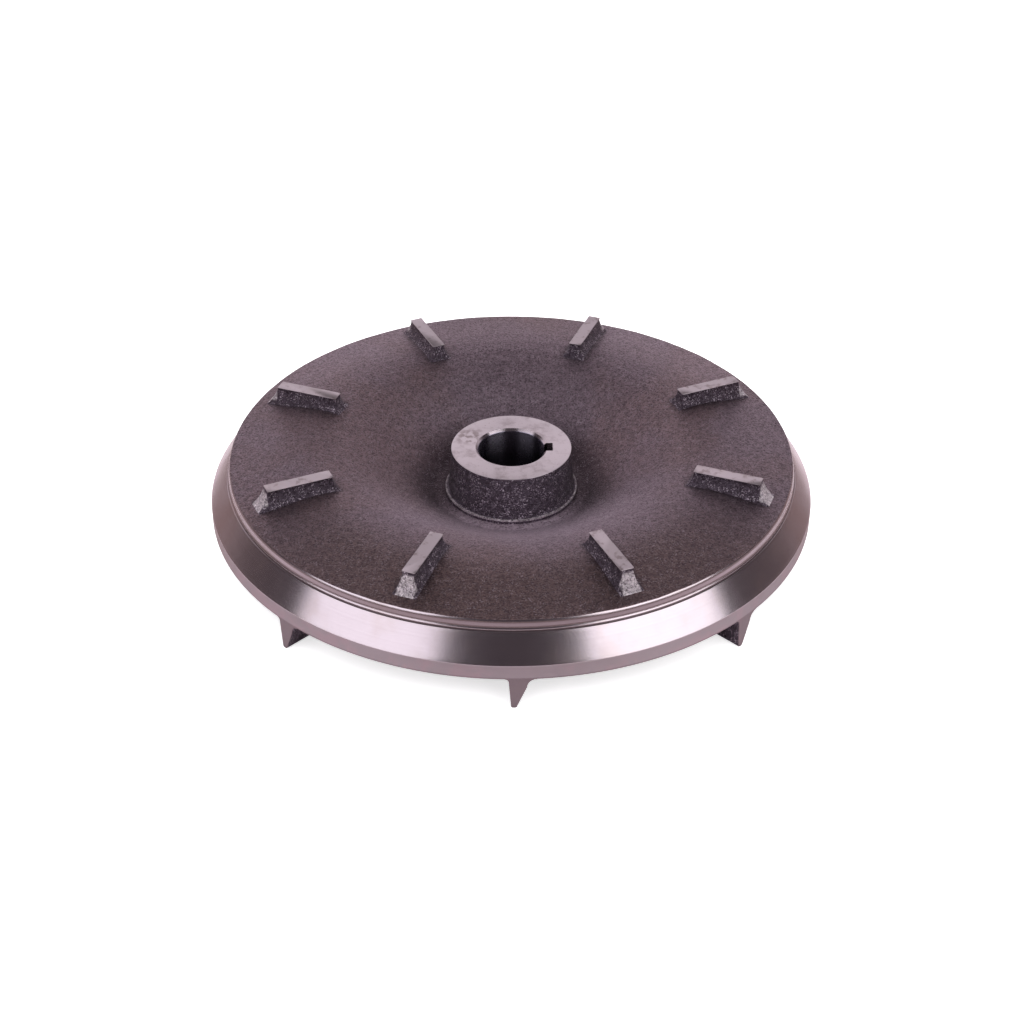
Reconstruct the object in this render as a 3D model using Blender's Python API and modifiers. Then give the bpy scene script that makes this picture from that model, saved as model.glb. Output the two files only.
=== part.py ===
"""A semi-open pump impeller, cast in one piece, resting on its vane edges.

The back of the disc faces up (+Z) and the shaft axis is the Z axis. Z = 0 is the
plane of the free vane edges. The keyway points along +X.
"""

import math

import bmesh
import bpy
from mathutils import Matrix, Vector

MM = 0.001

# Overall sizes of the disc and its machined rim: a band, a cone with a groove near its top,
# a short wall and a flat that breaks the edge of the cast back
OUTSIDE_RADIUS = 200.0 * MM
BAND_BOTTOM_Z = 21.5 * MM
BAND_TOP_Z = 31.5 * MM
CONE_TOP_Z = 50.1 * MM
STEP_RADIUS = 187.0 * MM
EDGE_FLAT_Z = 53.95 * MM
EDGE_FLAT_RUN = 1.6 * MM
GROOVE_START = 1.3 * MM
GROOVE_WIDTH = 1.6 * MM
GROOVE_DEPTH = 0.9 * MM

# Back surface: a cone that rises from the hub, a crown, and a gentle fall to the rim
DISH_SLOPE = 0.58
DISH_PASSES_RADIUS = 60.0 * MM
DISH_PASSES_Z = 30.0 * MM
RIM_SLOPE = -0.13
RIM_LINE_EDGE_Z = 55.6 * MM
CROWN_ROUND = 90.0 * MM
FOOT_FILLET = 16.0 * MM

# Hub, collar at its foot, bore and keyway
HUB_TOP_RADIUS = 40.0 * MM
HUB_FOOT_RADIUS = 42.2 * MM
HUB_TOP_Z = 57.5 * MM
COLLAR_RADIUS = 44.4 * MM
COLLAR_TOP_Z = 28.4 * MM
COLLAR_HEIGHT = 2.0 * MM
COLLAR_ROUND = 0.7 * MM
BORE_RADIUS = 22.2 * MM
BORE_CHAMFER = 1.6 * MM
KEYWAY_WIDTH = 9.5 * MM
KEYWAY_REACH = 27.6 * MM

# Front surface: a wall of even thickness, and the nose of the hub
WALL_DROP = 16.0 * MM
NOSE_Z = 2.0 * MM
NOSE_ROUND = 3.0 * MM
RIM_LAND_WIDTH = 12.0 * MM
RIM_LAND_ROUND = 2.5 * MM
CUP_FLANK_RUN = 10.0 * MM
CUP_FILLET = 12.0 * MM
FRONT_CROWN_ROUND = 76.0 * MM

# Back ribs, halfway between the front vanes but for a small lead
RIB_COUNT = 8
RIB_LEAD = math.radians(1.1)
RIB_TOP_Z = 69.8 * MM
RIB_INNER_RADIUS = 126.4 * MM
RIB_OUTER_RADIUS = 170.2 * MM
RIB_TOP_WIDTH = 8.7 * MM
RIB_FOOT_Z = 52.0 * MM
RIB_SIDE_FLARE = 0.17
RIB_INNER_FLARE = 0.17
RIB_OUTER_FLARE = 0.56

# Front vanes
VANE_COUNT = 8
VANE_TIP_WIDTH = 3.1 * MM
VANE_TIP_ROUND = 1.2 * MM
VANE_STEEP_FLARE = 0.075
VANE_SLANT_FLARE = 0.40
VANE_SLANT_HEIGHT = 20.0 * MM
VANE_ROOT_Z = 52.0 * MM
VANE_ROOT_FLARE = 0.035
VANE_LEVEL_START = 56.0 * MM
VANE_NOSE_RADIUS = 46.0 * MM
VANE_NOSE_Z = 9.0 * MM
VANE_END_INSET = 0.6 * MM

CAST_COLOUR = (0.16, 0.12, 0.13, 1.0)
CAST_METALLIC = 0.8
CAST_ROUGHNESS = 0.55

TURNED_STEPS = 72
ARC_STEP = math.radians(18.0)
FINE_ARC_STEP = math.radians(45.0)
MERGE_DISTANCE = 0.00001
CUT_MARGIN = 5.0 * MM


def clear_scene():
    for item in list(bpy.data.objects):
        bpy.data.objects.remove(item, do_unlink=True)


def new_collection(name):
    collection = bpy.data.collections.new(name)
    bpy.context.scene.collection.children.link(collection)
    return collection


def rounded_corner(before, corner, after, radius, arc_step):
    """Points of the arc that rounds one corner of an outline."""
    towards_before = (before - corner).normalized()
    towards_after = (after - corner).normalized()
    half_angle = towards_before.angle(towards_after) / 2
    reach = radius / math.tan(half_angle)
    start = corner + towards_before * reach
    bisector = (towards_before + towards_after).normalized()
    centre = corner + bisector * (radius / math.sin(half_angle))
    turn = math.pi - 2 * half_angle
    steps = max(1, math.ceil(turn / arc_step))
    spoke = start - centre
    side = (corner - start).cross(after - corner)
    direction = 1 if side > 0 else -1
    return [centre + Matrix.Rotation(direction * turn * step / steps, 2) @ spoke
            for step in range(steps + 1)]


def rounded_outline(corners, arc_step=ARC_STEP):
    """Outline through (radius, z, rounding) corners, closed, with arcs at the corners."""
    points = []
    for index, (radius, z, rounding) in enumerate(corners):
        corner = Vector((radius, z))
        if rounding == 0:
            points.append(corner)
            continue
        before = Vector(corners[index - 1][:2])
        after = Vector(corners[(index + 1) % len(corners)][:2])
        points += rounded_corner(before, corner, after, rounding, arc_step)
    return points


def line_crossing(point_a, slope_a, point_b, slope_b):
    """Point where two lines in the profile plane cross, each given by a point and a slope."""
    radius = ((point_b[1] - slope_b * point_b[0]) - (point_a[1] - slope_a * point_a[0]))
    radius /= slope_a - slope_b
    return radius, point_a[1] + slope_a * (radius - point_a[0])


def dish_z(radius):
    """Height of the straight part of the back cone at a radius."""
    return DISH_PASSES_Z + DISH_SLOPE * (radius - DISH_PASSES_RADIUS)


def rim_groove_corners():
    """Corners of the V groove, which is cut square to the cone of the rim."""
    cone_top = Vector((STEP_RADIUS, CONE_TOP_Z))
    along = (Vector((OUTSIDE_RADIUS, BAND_TOP_Z)) - cone_top).normalized()
    inwards = Vector((along.y, -along.x))
    start = cone_top + along * GROOVE_START
    bottom = start + along * GROOVE_WIDTH / 2 + inwards * GROOVE_DEPTH
    end = start + along * GROOVE_WIDTH
    return [(point.x, point.y, 0) for point in (start, bottom, end)]


def back_corners():
    """Corners of the back and the rim, from the bore up over the hub and down to the band."""
    crown = line_crossing((DISH_PASSES_RADIUS, DISH_PASSES_Z), DISH_SLOPE,
                          (STEP_RADIUS, RIM_LINE_EDGE_Z), RIM_SLOPE)
    foot_z = COLLAR_TOP_Z - COLLAR_HEIGHT
    foot_radius = DISH_PASSES_RADIUS + (foot_z - DISH_PASSES_Z) / DISH_SLOPE
    return [
        (BORE_RADIUS, HUB_TOP_Z - BORE_CHAMFER, 0),
        (BORE_RADIUS + BORE_CHAMFER, HUB_TOP_Z, 0),
        (HUB_TOP_RADIUS, HUB_TOP_Z, 0),
        (HUB_FOOT_RADIUS, COLLAR_TOP_Z, 0),
        (COLLAR_RADIUS, COLLAR_TOP_Z, COLLAR_ROUND),
        (COLLAR_RADIUS, foot_z, 0),
        (foot_radius, foot_z, FOOT_FILLET),
        (crown[0], crown[1], CROWN_ROUND),
        (STEP_RADIUS - EDGE_FLAT_RUN, RIM_LINE_EDGE_Z - RIM_SLOPE * EDGE_FLAT_RUN, 0),
        (STEP_RADIUS, EDGE_FLAT_Z, 0),
        (STEP_RADIUS, CONE_TOP_Z, 0),
        *rim_groove_corners(),
        (OUTSIDE_RADIUS, BAND_TOP_Z, 0),
        (OUTSIDE_RADIUS, BAND_BOTTOM_Z, 0),
    ]


def front_corners():
    """Corners of the front surface, from the band inwards to the bore."""
    crown = line_crossing((DISH_PASSES_RADIUS, DISH_PASSES_Z - WALL_DROP), DISH_SLOPE,
                          (STEP_RADIUS, RIM_LINE_EDGE_Z - WALL_DROP), RIM_SLOPE)
    land_radius = OUTSIDE_RADIUS - RIM_LAND_WIDTH
    flank_radius = land_radius - CUP_FLANK_RUN
    flank_z = RIM_LINE_EDGE_Z - WALL_DROP + RIM_SLOPE * (flank_radius - STEP_RADIUS)
    nose_radius = DISH_PASSES_RADIUS + (NOSE_Z + WALL_DROP - DISH_PASSES_Z) / DISH_SLOPE
    return [
        (land_radius, BAND_BOTTOM_Z, RIM_LAND_ROUND),
        (flank_radius, flank_z, CUP_FILLET),
        (crown[0], crown[1], FRONT_CROWN_ROUND),
        (nose_radius, NOSE_Z, NOSE_ROUND),
        (BORE_RADIUS + BORE_CHAMFER, NOSE_Z, 0),
        (BORE_RADIUS, NOSE_Z + BORE_CHAMFER, 0),
    ]


def envelope_corners():
    """Corners of a ring that trims the front vanes to the middle of the wall and at the nose."""
    half_wall = WALL_DROP / 2
    middle_of_band = (BAND_TOP_Z + BAND_BOTTOM_Z) / 2
    nose_run = VANE_LEVEL_START - VANE_NOSE_RADIUS
    below_radius = VANE_LEVEL_START + CUT_MARGIN * nose_run / VANE_NOSE_Z
    crown = line_crossing((DISH_PASSES_RADIUS, DISH_PASSES_Z - half_wall), DISH_SLOPE,
                          (STEP_RADIUS, RIM_LINE_EDGE_Z - half_wall), RIM_SLOPE)
    flank_radius = OUTSIDE_RADIUS - RIM_LAND_WIDTH
    flank_z = RIM_LINE_EDGE_Z - half_wall + RIM_SLOPE * (flank_radius - STEP_RADIUS)
    return [
        (flank_radius, flank_z, 0),
        (OUTSIDE_RADIUS, middle_of_band, 0),
        (OUTSIDE_RADIUS + CUT_MARGIN, middle_of_band, 0),
        (OUTSIDE_RADIUS + CUT_MARGIN, -CUT_MARGIN, 0),
        (below_radius, -CUT_MARGIN, 0),
        (VANE_NOSE_RADIUS, VANE_NOSE_Z, 0),
        (VANE_NOSE_RADIUS, dish_z(VANE_NOSE_RADIUS) - half_wall, 0),
        (crown[0], crown[1], CROWN_ROUND),
    ]


def turned_object(name, outline, collection):
    """Solid of revolution about Z from a closed outline of (radius, z) points."""
    mesh = bpy.data.meshes.new(name)
    vertices = [(point[0], 0, point[1]) for point in outline]
    edges = [(index, (index + 1) % len(vertices)) for index in range(len(vertices))]
    mesh.from_pydata(vertices, edges, [])
    turned = bpy.data.objects.new(name, mesh)
    collection.objects.link(turned)
    screw = turned.modifiers.new("turn", "SCREW")
    screw.axis = "Z"
    screw.angle = 2 * math.pi
    screw.steps = TURNED_STEPS
    screw.render_steps = TURNED_STEPS
    screw.use_merge_vertices = True
    screw.merge_threshold = MERGE_DISTANCE
    screw.use_smooth_shade = False
    return turned


def extruded_mesh(name, outline, depth):
    """Prism from an outline in the XY plane, standing from z = 0 to z = depth."""
    bm = bmesh.new()
    face = bm.faces.new([bm.verts.new((point[0], point[1], 0)) for point in outline])
    raised = bmesh.ops.extrude_face_region(bm, geom=[face])["geom"]
    moved = [item for item in raised if isinstance(item, bmesh.types.BMVert)]
    bmesh.ops.translate(bm, verts=moved, vec=(0, 0, depth))
    bmesh.ops.recalc_face_normals(bm, faces=bm.faces)
    mesh = bpy.data.meshes.new(name)
    bm.to_mesh(mesh)
    bm.free()
    return mesh


def vane_section():
    """Vane section seen from outside: x is the counter-clockwise side, y is the height."""
    half_tip = VANE_TIP_WIDTH / 2
    knee_steep = -half_tip - VANE_STEEP_FLARE * VANE_SLANT_HEIGHT
    knee_slant = half_tip + VANE_SLANT_FLARE * VANE_SLANT_HEIGHT
    root_flare = VANE_ROOT_FLARE * (VANE_ROOT_Z - VANE_SLANT_HEIGHT)
    return rounded_outline([
        (-half_tip, 0.0, VANE_TIP_ROUND),
        (half_tip, 0.0, VANE_TIP_ROUND),
        (knee_slant, VANE_SLANT_HEIGHT, 0),
        (knee_slant + root_flare, VANE_ROOT_Z, 0),
        (knee_steep - root_flare, VANE_ROOT_Z, 0),
        (knee_steep, VANE_SLANT_HEIGHT, 0),
    ], FINE_ARC_STEP)


def ring_of_copies(name, mesh, count, first_angle, collection):
    """One object that holds equally spaced copies of a mesh about the Z axis."""
    bm = bmesh.new()
    for index in range(count):
        known = set(bm.verts)
        bm.from_mesh(mesh)
        fresh = [vertex for vertex in bm.verts if vertex not in known]
        angle = first_angle + index * 2 * math.pi / count
        bmesh.ops.rotate(bm, verts=fresh, cent=(0, 0, 0), matrix=Matrix.Rotation(angle, 3, "Z"))
    ring_mesh = bpy.data.meshes.new(name)
    bm.to_mesh(ring_mesh)
    bm.free()
    ring = bpy.data.objects.new(name, ring_mesh)
    collection.objects.link(ring)
    return ring


def front_vanes(cutters):
    """Eight radial vanes: tapered bars, trimmed to the space under the wall."""
    bar_start = VANE_NOSE_RADIUS - CUT_MARGIN
    bar = extruded_mesh("vane_bar", vane_section(), OUTSIDE_RADIUS - VANE_END_INSET - bar_start)
    along_radius = Matrix(((0, 0, 1), (1, 0, 0), (0, 1, 0))).to_4x4()
    bar.transform(Matrix.Translation((bar_start, 0, 0)) @ along_radius)
    vanes = ring_of_copies("vane_bars", bar, VANE_COUNT, 0.0, cutters)
    envelope = turned_object("vane_envelope", rounded_outline(envelope_corners()), cutters)
    envelope.rotation_euler.z = math.pi / TURNED_STEPS
    trim = vanes.modifiers.new("trim_to_envelope", "BOOLEAN")
    trim.operation = "INTERSECT"
    trim.object = envelope
    return vanes


def tapered_rib_mesh():
    """One back rib as a cube whose foot is spread by the flare of its flanks."""
    height = RIB_TOP_Z - RIB_FOOT_Z
    bm = bmesh.new()
    bmesh.ops.create_cube(bm, size=1.0)
    for vertex in bm.verts:
        drop = 0.0 if vertex.co.z > 0 else height
        if vertex.co.x > 0:
            radius = RIB_OUTER_RADIUS + RIB_OUTER_FLARE * drop
        else:
            radius = RIB_INNER_RADIUS - RIB_INNER_FLARE * drop
        half_width = RIB_TOP_WIDTH / 2 + RIB_SIDE_FLARE * drop
        vertex.co = (radius, math.copysign(half_width, vertex.co.y), RIB_TOP_Z - drop)
    mesh = bpy.data.meshes.new("back_rib")
    bm.to_mesh(mesh)
    bm.free()
    return mesh


def keyway_cutter(cutters):
    """Long box through the hub on the +X side of the bore."""
    bm = bmesh.new()
    bmesh.ops.create_cube(bm, size=1.0)
    height = HUB_TOP_Z - NOSE_Z + 2 * CUT_MARGIN
    bmesh.ops.scale(bm, vec=(KEYWAY_REACH, KEYWAY_WIDTH, height), verts=bm.verts)
    middle_z = (HUB_TOP_Z + NOSE_Z) / 2
    bmesh.ops.translate(bm, vec=(KEYWAY_REACH / 2, 0, middle_z), verts=bm.verts)
    mesh = bpy.data.meshes.new("keyway_cutter")
    bm.to_mesh(mesh)
    bm.free()
    cutter = bpy.data.objects.new("keyway_cutter", mesh)
    cutters.objects.link(cutter)
    return cutter


def add_boolean(body, operation, tool):
    boolean = body.modifiers.new(tool.name, "BOOLEAN")
    boolean.operation = operation
    boolean.object = tool


def cast_metal():
    material = bpy.data.materials.new("cast_metal")
    material.use_nodes = True
    shader = material.node_tree.nodes["Principled BSDF"]
    shader.inputs["Base Color"].default_value = CAST_COLOUR
    shader.inputs["Metallic"].default_value = CAST_METALLIC
    shader.inputs["Roughness"].default_value = CAST_ROUGHNESS
    return material


def hide_cutters(cutters):
    for item in cutters.objects:
        item.hide_render = True
        item.display_type = "WIRE"


def build():
    clear_scene()
    parts = new_collection("pump_impeller")
    cutters = new_collection("cutters")
    outline = rounded_outline(back_corners() + front_corners())
    casting = turned_object("impeller_casting", outline, parts)
    vanes = front_vanes(cutters)
    first_rib = math.pi / VANE_COUNT + RIB_LEAD
    ribs = ring_of_copies("back_ribs", tapered_rib_mesh(), RIB_COUNT, first_rib, cutters)
    add_boolean(casting, "UNION", vanes)
    add_boolean(casting, "UNION", ribs)
    add_boolean(casting, "DIFFERENCE", keyway_cutter(cutters))
    casting.data.materials.append(cast_metal())
    hide_cutters(cutters)


build()
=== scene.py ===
# %% [markdown]
# # The looks of a cast pump impeller
# The impeller is one iron casting that was turned on a lathe where it has to fit: the rim, the
# bore, the face of the hub and the tops of the back ribs. Everything else keeps the skin that it
# had when it left the sand mould. This script rebuilds it surface by surface round the packed
# model, with the rounded edges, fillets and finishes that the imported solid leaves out.

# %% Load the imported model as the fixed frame
import math

import bmesh
import bpy
from mathutils import Matrix, Vector


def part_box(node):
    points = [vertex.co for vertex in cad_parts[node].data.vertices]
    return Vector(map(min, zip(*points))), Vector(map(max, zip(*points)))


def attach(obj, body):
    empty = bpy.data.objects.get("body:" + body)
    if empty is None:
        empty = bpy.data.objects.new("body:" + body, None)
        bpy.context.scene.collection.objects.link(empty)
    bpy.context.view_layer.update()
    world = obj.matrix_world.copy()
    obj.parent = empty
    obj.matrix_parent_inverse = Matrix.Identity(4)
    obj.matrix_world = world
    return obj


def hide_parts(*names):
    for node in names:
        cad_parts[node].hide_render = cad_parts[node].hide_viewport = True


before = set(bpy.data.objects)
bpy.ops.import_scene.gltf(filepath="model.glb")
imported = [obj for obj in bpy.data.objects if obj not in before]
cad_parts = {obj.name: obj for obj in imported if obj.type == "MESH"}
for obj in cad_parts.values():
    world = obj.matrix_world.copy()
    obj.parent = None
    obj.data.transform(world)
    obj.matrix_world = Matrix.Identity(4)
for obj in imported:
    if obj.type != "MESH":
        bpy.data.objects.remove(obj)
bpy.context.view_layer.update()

MM = 0.001
NODE = "impeller_casting"
low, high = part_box(NODE)
OUTSIDE_RADIUS = (high[0] - low[0]) / 2
RIB_TOP_Z = high[2]
print("box of the packed casting:", [round(side / MM, 1) for side in (*low, *high)], "mm")

# %% [markdown]
# ## The camera
# A product photograph like this is taken with a short telephoto lens from a tripod. The lens, the
# distance and the height below come from the way the round edges of the impeller flatten into
# ellipses in the picture, so the model lands on the same pixels.

# %% Place the camera
LENS = 66.8
SENSOR = 36.0
CAMERA_DISTANCE = 1.2938
CAMERA_ELEVATION = math.radians(34.167)
CAMERA_AZIMUTH = math.radians(-0.5)
CAMERA_ROLL = math.radians(0.13)
LOOK_AT = Vector((0.54, 0.0, 5.1)) * MM


def place_camera():
    data = bpy.data.cameras.new("camera")
    data.lens = LENS
    data.sensor_width = SENSOR
    data.clip_start = 0.05
    camera = bpy.data.objects.new("camera", data)
    bpy.context.scene.collection.objects.link(camera)
    tilt = Matrix.Rotation(math.pi / 2 - CAMERA_ELEVATION, 4, "X")
    turn = Matrix.Rotation(CAMERA_AZIMUTH, 4, "Z")
    back_off = Matrix.Translation((0, 0, CAMERA_DISTANCE))
    roll = Matrix.Rotation(CAMERA_ROLL, 4, "Z")
    camera.matrix_world = Matrix.Translation(LOOK_AT) @ turn @ tilt @ back_off @ roll
    bpy.context.scene.camera = camera
    return camera


camera = place_camera()
print("camera stands at", [round(c, 3) for c in camera.matrix_world.translation])

# %% [markdown]
# ## Sizes
# The sizes are written the way a lathe drawing gives them: radius and height in millimetres, with
# the free edges of the front vanes at height zero. A few lines describe the dished back: a cone
# that rises from the hub, a crown, and a gentle fall to the rim.

# %% Driving sizes of the turned profile
BAND_BOTTOM_Z = 21.5 * MM
BAND_TOP_Z = 31.5 * MM
CONE_TOP_Z = 50.1 * MM
WALL_RADIUS = 187.0 * MM
WALL_TOP_Z = 53.95 * MM
EDGE_FLAT_RUN = 1.05 * MM
EDGE_FLAT_RISE = 1.46 * MM
GROOVE_START = 1.3 * MM
GROOVE_WIDTH = 1.6 * MM
GROOVE_DEPTH = 0.6 * MM
SKIN_EDGE_RADIUS = 186.15 * MM
SKIN_EDGE_ROUND = 0.8 * MM

DISH_SLOPE = 0.58
DISH_RADIUS = 60.0 * MM
DISH_Z = 30.0 * MM
RIM_SLOPE = -0.13
RIM_LINE_Z = 55.6 * MM
CROWN_ROUND = 90.0 * MM
FOOT_FILLET = 8.0 * MM
WALL_DROP = 16.0 * MM
BACK_SHARE = 7.0 * MM
FRONT_SHARE = 9.0 * MM

HUB_TOP_RADIUS = 40.0 * MM
HUB_FOOT_RADIUS = 42.0 * MM
HUB_TOP_Z = 57.5 * MM
COLLAR_RADIUS = 44.4 * MM
COLLAR_TOP_Z = 28.4 * MM
COLLAR_FOOT_Z = 26.4 * MM
DISH_FOOT_Z = 25.2 * MM
BORE_RADIUS = 22.2 * MM
BORE_CHAMFER = 1.6 * MM
KEYWAY_WIDTH = 9.5 * MM
KEYWAY_REACH = 27.6 * MM
NOSE_Z = 2.0 * MM
NOSE_ROUND = 3.0 * MM
NOSE_FACE_RADIUS = 36.2 * MM
HUB_CORE_RADIUS = 34.0 * MM

LAND_RADIUS = 188.0 * MM
LAND_ROUND = 2.5 * MM
CUP_RADIUS = 178.0 * MM
CUP_FILLET = 12.0 * MM
FRONT_CROWN_ROUND = 76.0 * MM
EDGE_BREAK = 0.3 * MM

# %% [markdown]
# ## Outlines with rounded corners
# Every turned part starts as a closed outline in the plane of radius and height. Writing the
# corners with a rounding each keeps the outline readable: the arcs are worked out where two
# straight stretches meet, as a draughtsman would draw them.

# %% Round the corners of an outline
ARC_STEP = math.radians(9)


def rounded_corner(before, corner, after, radius):
    """Points of the arc that rounds one corner between its two neighbours."""
    towards_before = (before - corner).normalized()
    towards_after = (after - corner).normalized()
    half_angle = towards_before.angle(towards_after) / 2
    start = corner + towards_before * radius / math.tan(half_angle)
    bisector = (towards_before + towards_after).normalized()
    centre = corner + bisector * radius / math.sin(half_angle)
    turn = math.pi - 2 * half_angle
    steps = max(2, math.ceil(turn / ARC_STEP))
    if (corner - start).cross(after - corner) < 0:
        turn = -turn
    return [centre + Matrix.Rotation(turn * step / steps, 2) @ (start - centre)
            for step in range(steps + 1)]


def rounded_outline(corners):
    """Closed outline through corners of radius, height and rounding."""
    points = []
    for index, (radius, height, rounding) in enumerate(corners):
        corner = Vector((radius, height))
        if rounding == 0:
            points.append(corner)
            continue
        before = Vector(corners[index - 1][:2])
        after = Vector(corners[(index + 1) % len(corners)][:2])
        points += rounded_corner(before, corner, after, rounding)
    return points


def subdivided(points, longest):
    """The same closed outline with no stretch longer than a given length."""
    fine = []
    for index, point in enumerate(points):
        after = points[(index + 1) % len(points)]
        pieces = max(1, math.ceil((after - point).length / longest))
        fine += [point.lerp(after, piece / pieces) for piece in range(pieces)]
    return fine


def rim_line_z(radius, drop=0.0):
    return RIM_LINE_Z - drop + RIM_SLOPE * (radius - WALL_RADIUS)


def dish_radius_at(height, drop=0.0):
    return DISH_RADIUS + (height - DISH_Z + drop) / DISH_SLOPE


def crown_corner(drop=0.0):
    """Where the dish line and the rim line cross, a given depth under the back."""
    rise = rim_line_z(0, drop) - (DISH_Z - drop - DISH_SLOPE * DISH_RADIUS)
    radius = rise / (DISH_SLOPE - RIM_SLOPE)
    return radius, rim_line_z(radius, drop)


print("the crown lines cross at", [round(c / MM, 1) for c in crown_corner()], "mm")

# %% [markdown]
# ## A small language for node trees
# Both the shapes and the finishes below come from node trees. Building a tree by hand takes many
# lines, so one class wraps a socket and lets sums be written as sums, and one method adds any
# other node from its type, its settings and the values or links of its inputs.

# %% Wrap sockets and trees
class Flow:
    """An output socket that Python sums and products can be written with."""

    def __init__(self, tree, socket):
        self.tree = tree
        self.socket = socket

    def math(self, operation, first, second):
        return self.tree.add("ShaderNodeMath", {"operation": operation}, {0: first, 1: second})

    def __add__(self, other):
        return self.math("ADD", self, other)

    def __radd__(self, other):
        return self.math("ADD", other, self)

    def __sub__(self, other):
        return self.math("SUBTRACT", self, other)

    def __rsub__(self, other):
        return self.math("SUBTRACT", other, self)

    def __mul__(self, other):
        return self.math("MULTIPLY", self, other)

    def __rmul__(self, other):
        return self.math("MULTIPLY", other, self)

    def __truediv__(self, other):
        return self.math("DIVIDE", self, other)

    def __rtruediv__(self, other):
        return self.math("DIVIDE", other, self)


class Tree:
    """A node tree that is filled one node at a time."""

    def __init__(self, nodes):
        self.nodes = nodes

    def node(self, kind, settings=None, inputs=None):
        made = self.nodes.nodes.new(kind)
        for name, setting in (settings or {}).items():
            if name == "stops":
                self.set_stops(made.color_ramp, setting)
            else:
                setattr(made, name, setting)
        for key, value in (inputs or {}).items():
            if isinstance(value, Flow):
                self.nodes.links.new(value.socket, made.inputs[key])
            else:
                made.inputs[key].default_value = value
        return made

    def set_stops(self, ramp, stops):
        while len(ramp.elements) < len(stops):
            ramp.elements.new(1.0)
        for element, (place, colour) in zip(ramp.elements, stops):
            element.position = place
            element.color = (*colour, 1.0)

    def add(self, kind, settings=None, inputs=None, output=0):
        return Flow(self, self.node(kind, settings, inputs).outputs[output])

    def math(self, operation, first, second=0.0):
        return self.add("ShaderNodeMath", {"operation": operation}, {0: first, 1: second})


# %% [markdown]
# ## Shapes from rules
# Almost all of this impeller follows two rules. The lathe and the round mould give one outline
# turned about the shaft, and the ribs and vanes are one shape repeated round the same axis. Both
# rules are Geometry Nodes trees here, so the number of steps or of ribs is one value, and the
# slight unevenness of a sand casting is added in the same place for every piece. The unevenness
# depends only on the place in space, which keeps two pieces in touch where they meet.

# %% Start a shape tree with named inputs
def shape_tree(name, sizes):
    """A tree with a geometry input and output and one named input for each size."""
    group = bpy.data.node_groups.new(name, "GeometryNodeTree")
    face = group.interface
    face.new_socket("Geometry", in_out="INPUT", socket_type="NodeSocketGeometry")
    face.new_socket("Geometry", in_out="OUTPUT", socket_type="NodeSocketGeometry")
    for label, kind in sizes.items():
        face.new_socket(label, in_out="INPUT", socket_type="NodeSocket" + kind)
    tree = Tree(group)
    entry = tree.node("NodeGroupInput")
    return tree, {socket.name: Flow(tree, socket) for socket in entry.outputs if socket.name}


def finish_shape(tree, shape, sizes):
    """Unevenness, smooth shading with crisp edges, real geometry and the material."""
    place = tree.add("GeometryNodeInputPosition")
    cloud = {"Vector": place, "Scale": sizes["Patches per Metre"], "Detail": 3.0}
    noise = tree.add("ShaderNodeTexNoise", {}, cloud, "Color")
    centred = tree.add("ShaderNodeVectorMath", {"operation": "SUBTRACT"},
                       {0: noise, 1: (0.5, 0.5, 0.5)})
    push = tree.add("ShaderNodeVectorMath", {"operation": "MULTIPLY"},
                    {0: centred, 1: sizes["Unevenness"]})
    shape = tree.add("GeometryNodeSetPosition", {}, {"Geometry": shape, "Offset": push})
    shape = tree.add("GeometryNodeSetShadeSmooth", {"domain": "FACE"}, {"Geometry": shape})
    bend = tree.add("GeometryNodeInputMeshEdgeAngle")
    crisp = tree.add("FunctionNodeCompare", {"operation": "GREATER_THAN"},
                     {0: bend, 1: sizes["Crisp Angle"]})
    shape = tree.add("GeometryNodeSetShadeSmooth", {"domain": "EDGE"},
                     {"Geometry": shape, "Selection": crisp, "Shade Smooth": False})
    shape = tree.add("GeometryNodeRealizeInstances", {}, {"Geometry": shape})
    shape = tree.add("GeometryNodeSetMaterial", {},
                     {"Geometry": shape, "Material": sizes["Material"]})
    tree.node("NodeGroupOutput", {}, {"Geometry": shape})


COMMON_SIZES = {"Unevenness": "Vector", "Patches per Metre": "Float", "Crisp Angle": "Float",
                "Material": "Material"}


# %% Turn an outline about the shaft
def turned_tree():
    """Takes a ring of points in the plane of radius and height round the Z axis."""
    tree, sizes = shape_tree("turned_about_shaft", {"Steps": "Int", **COMMON_SIZES})
    outline = sizes["Geometry"]
    count = tree.add("GeometryNodeAttributeDomainSize", {}, {"Geometry": outline}, "Point Count")
    rows = count + 1
    grid = tree.add("GeometryNodeMeshGrid", {},
                    {"Vertices X": sizes["Steps"] + 1, "Vertices Y": rows}, "Mesh")
    index = tree.add("GeometryNodeInputIndex")
    step = tree.math("FLOOR", index / rows)
    along = index - step * rows
    place = tree.add("GeometryNodeInputPosition")
    sample = {"Geometry": outline, "Value": place, "Index": tree.math("MODULO", along, count)}
    point = tree.add("GeometryNodeSampleIndex", {"data_type": "FLOAT_VECTOR"}, sample)
    split = tree.node("ShaderNodeSeparateXYZ", {}, {0: point})
    radius, height = (Flow(tree, split.outputs[name]) for name in ("X", "Z"))
    angle = step * (-2 * math.pi) / sizes["Steps"]
    turned = tree.add("ShaderNodeCombineXYZ", {}, {
        "X": radius * tree.math("COSINE", angle), "Y": radius * tree.math("SINE", angle),
        "Z": height})
    shape = tree.add("GeometryNodeSetPosition", {}, {"Geometry": grid, "Position": turned})
    shape = tree.add("GeometryNodeMergeByDistance", {}, {"Geometry": shape, "Distance": 1e-6})
    finish_shape(tree, shape, sizes)
    return tree.nodes


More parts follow.
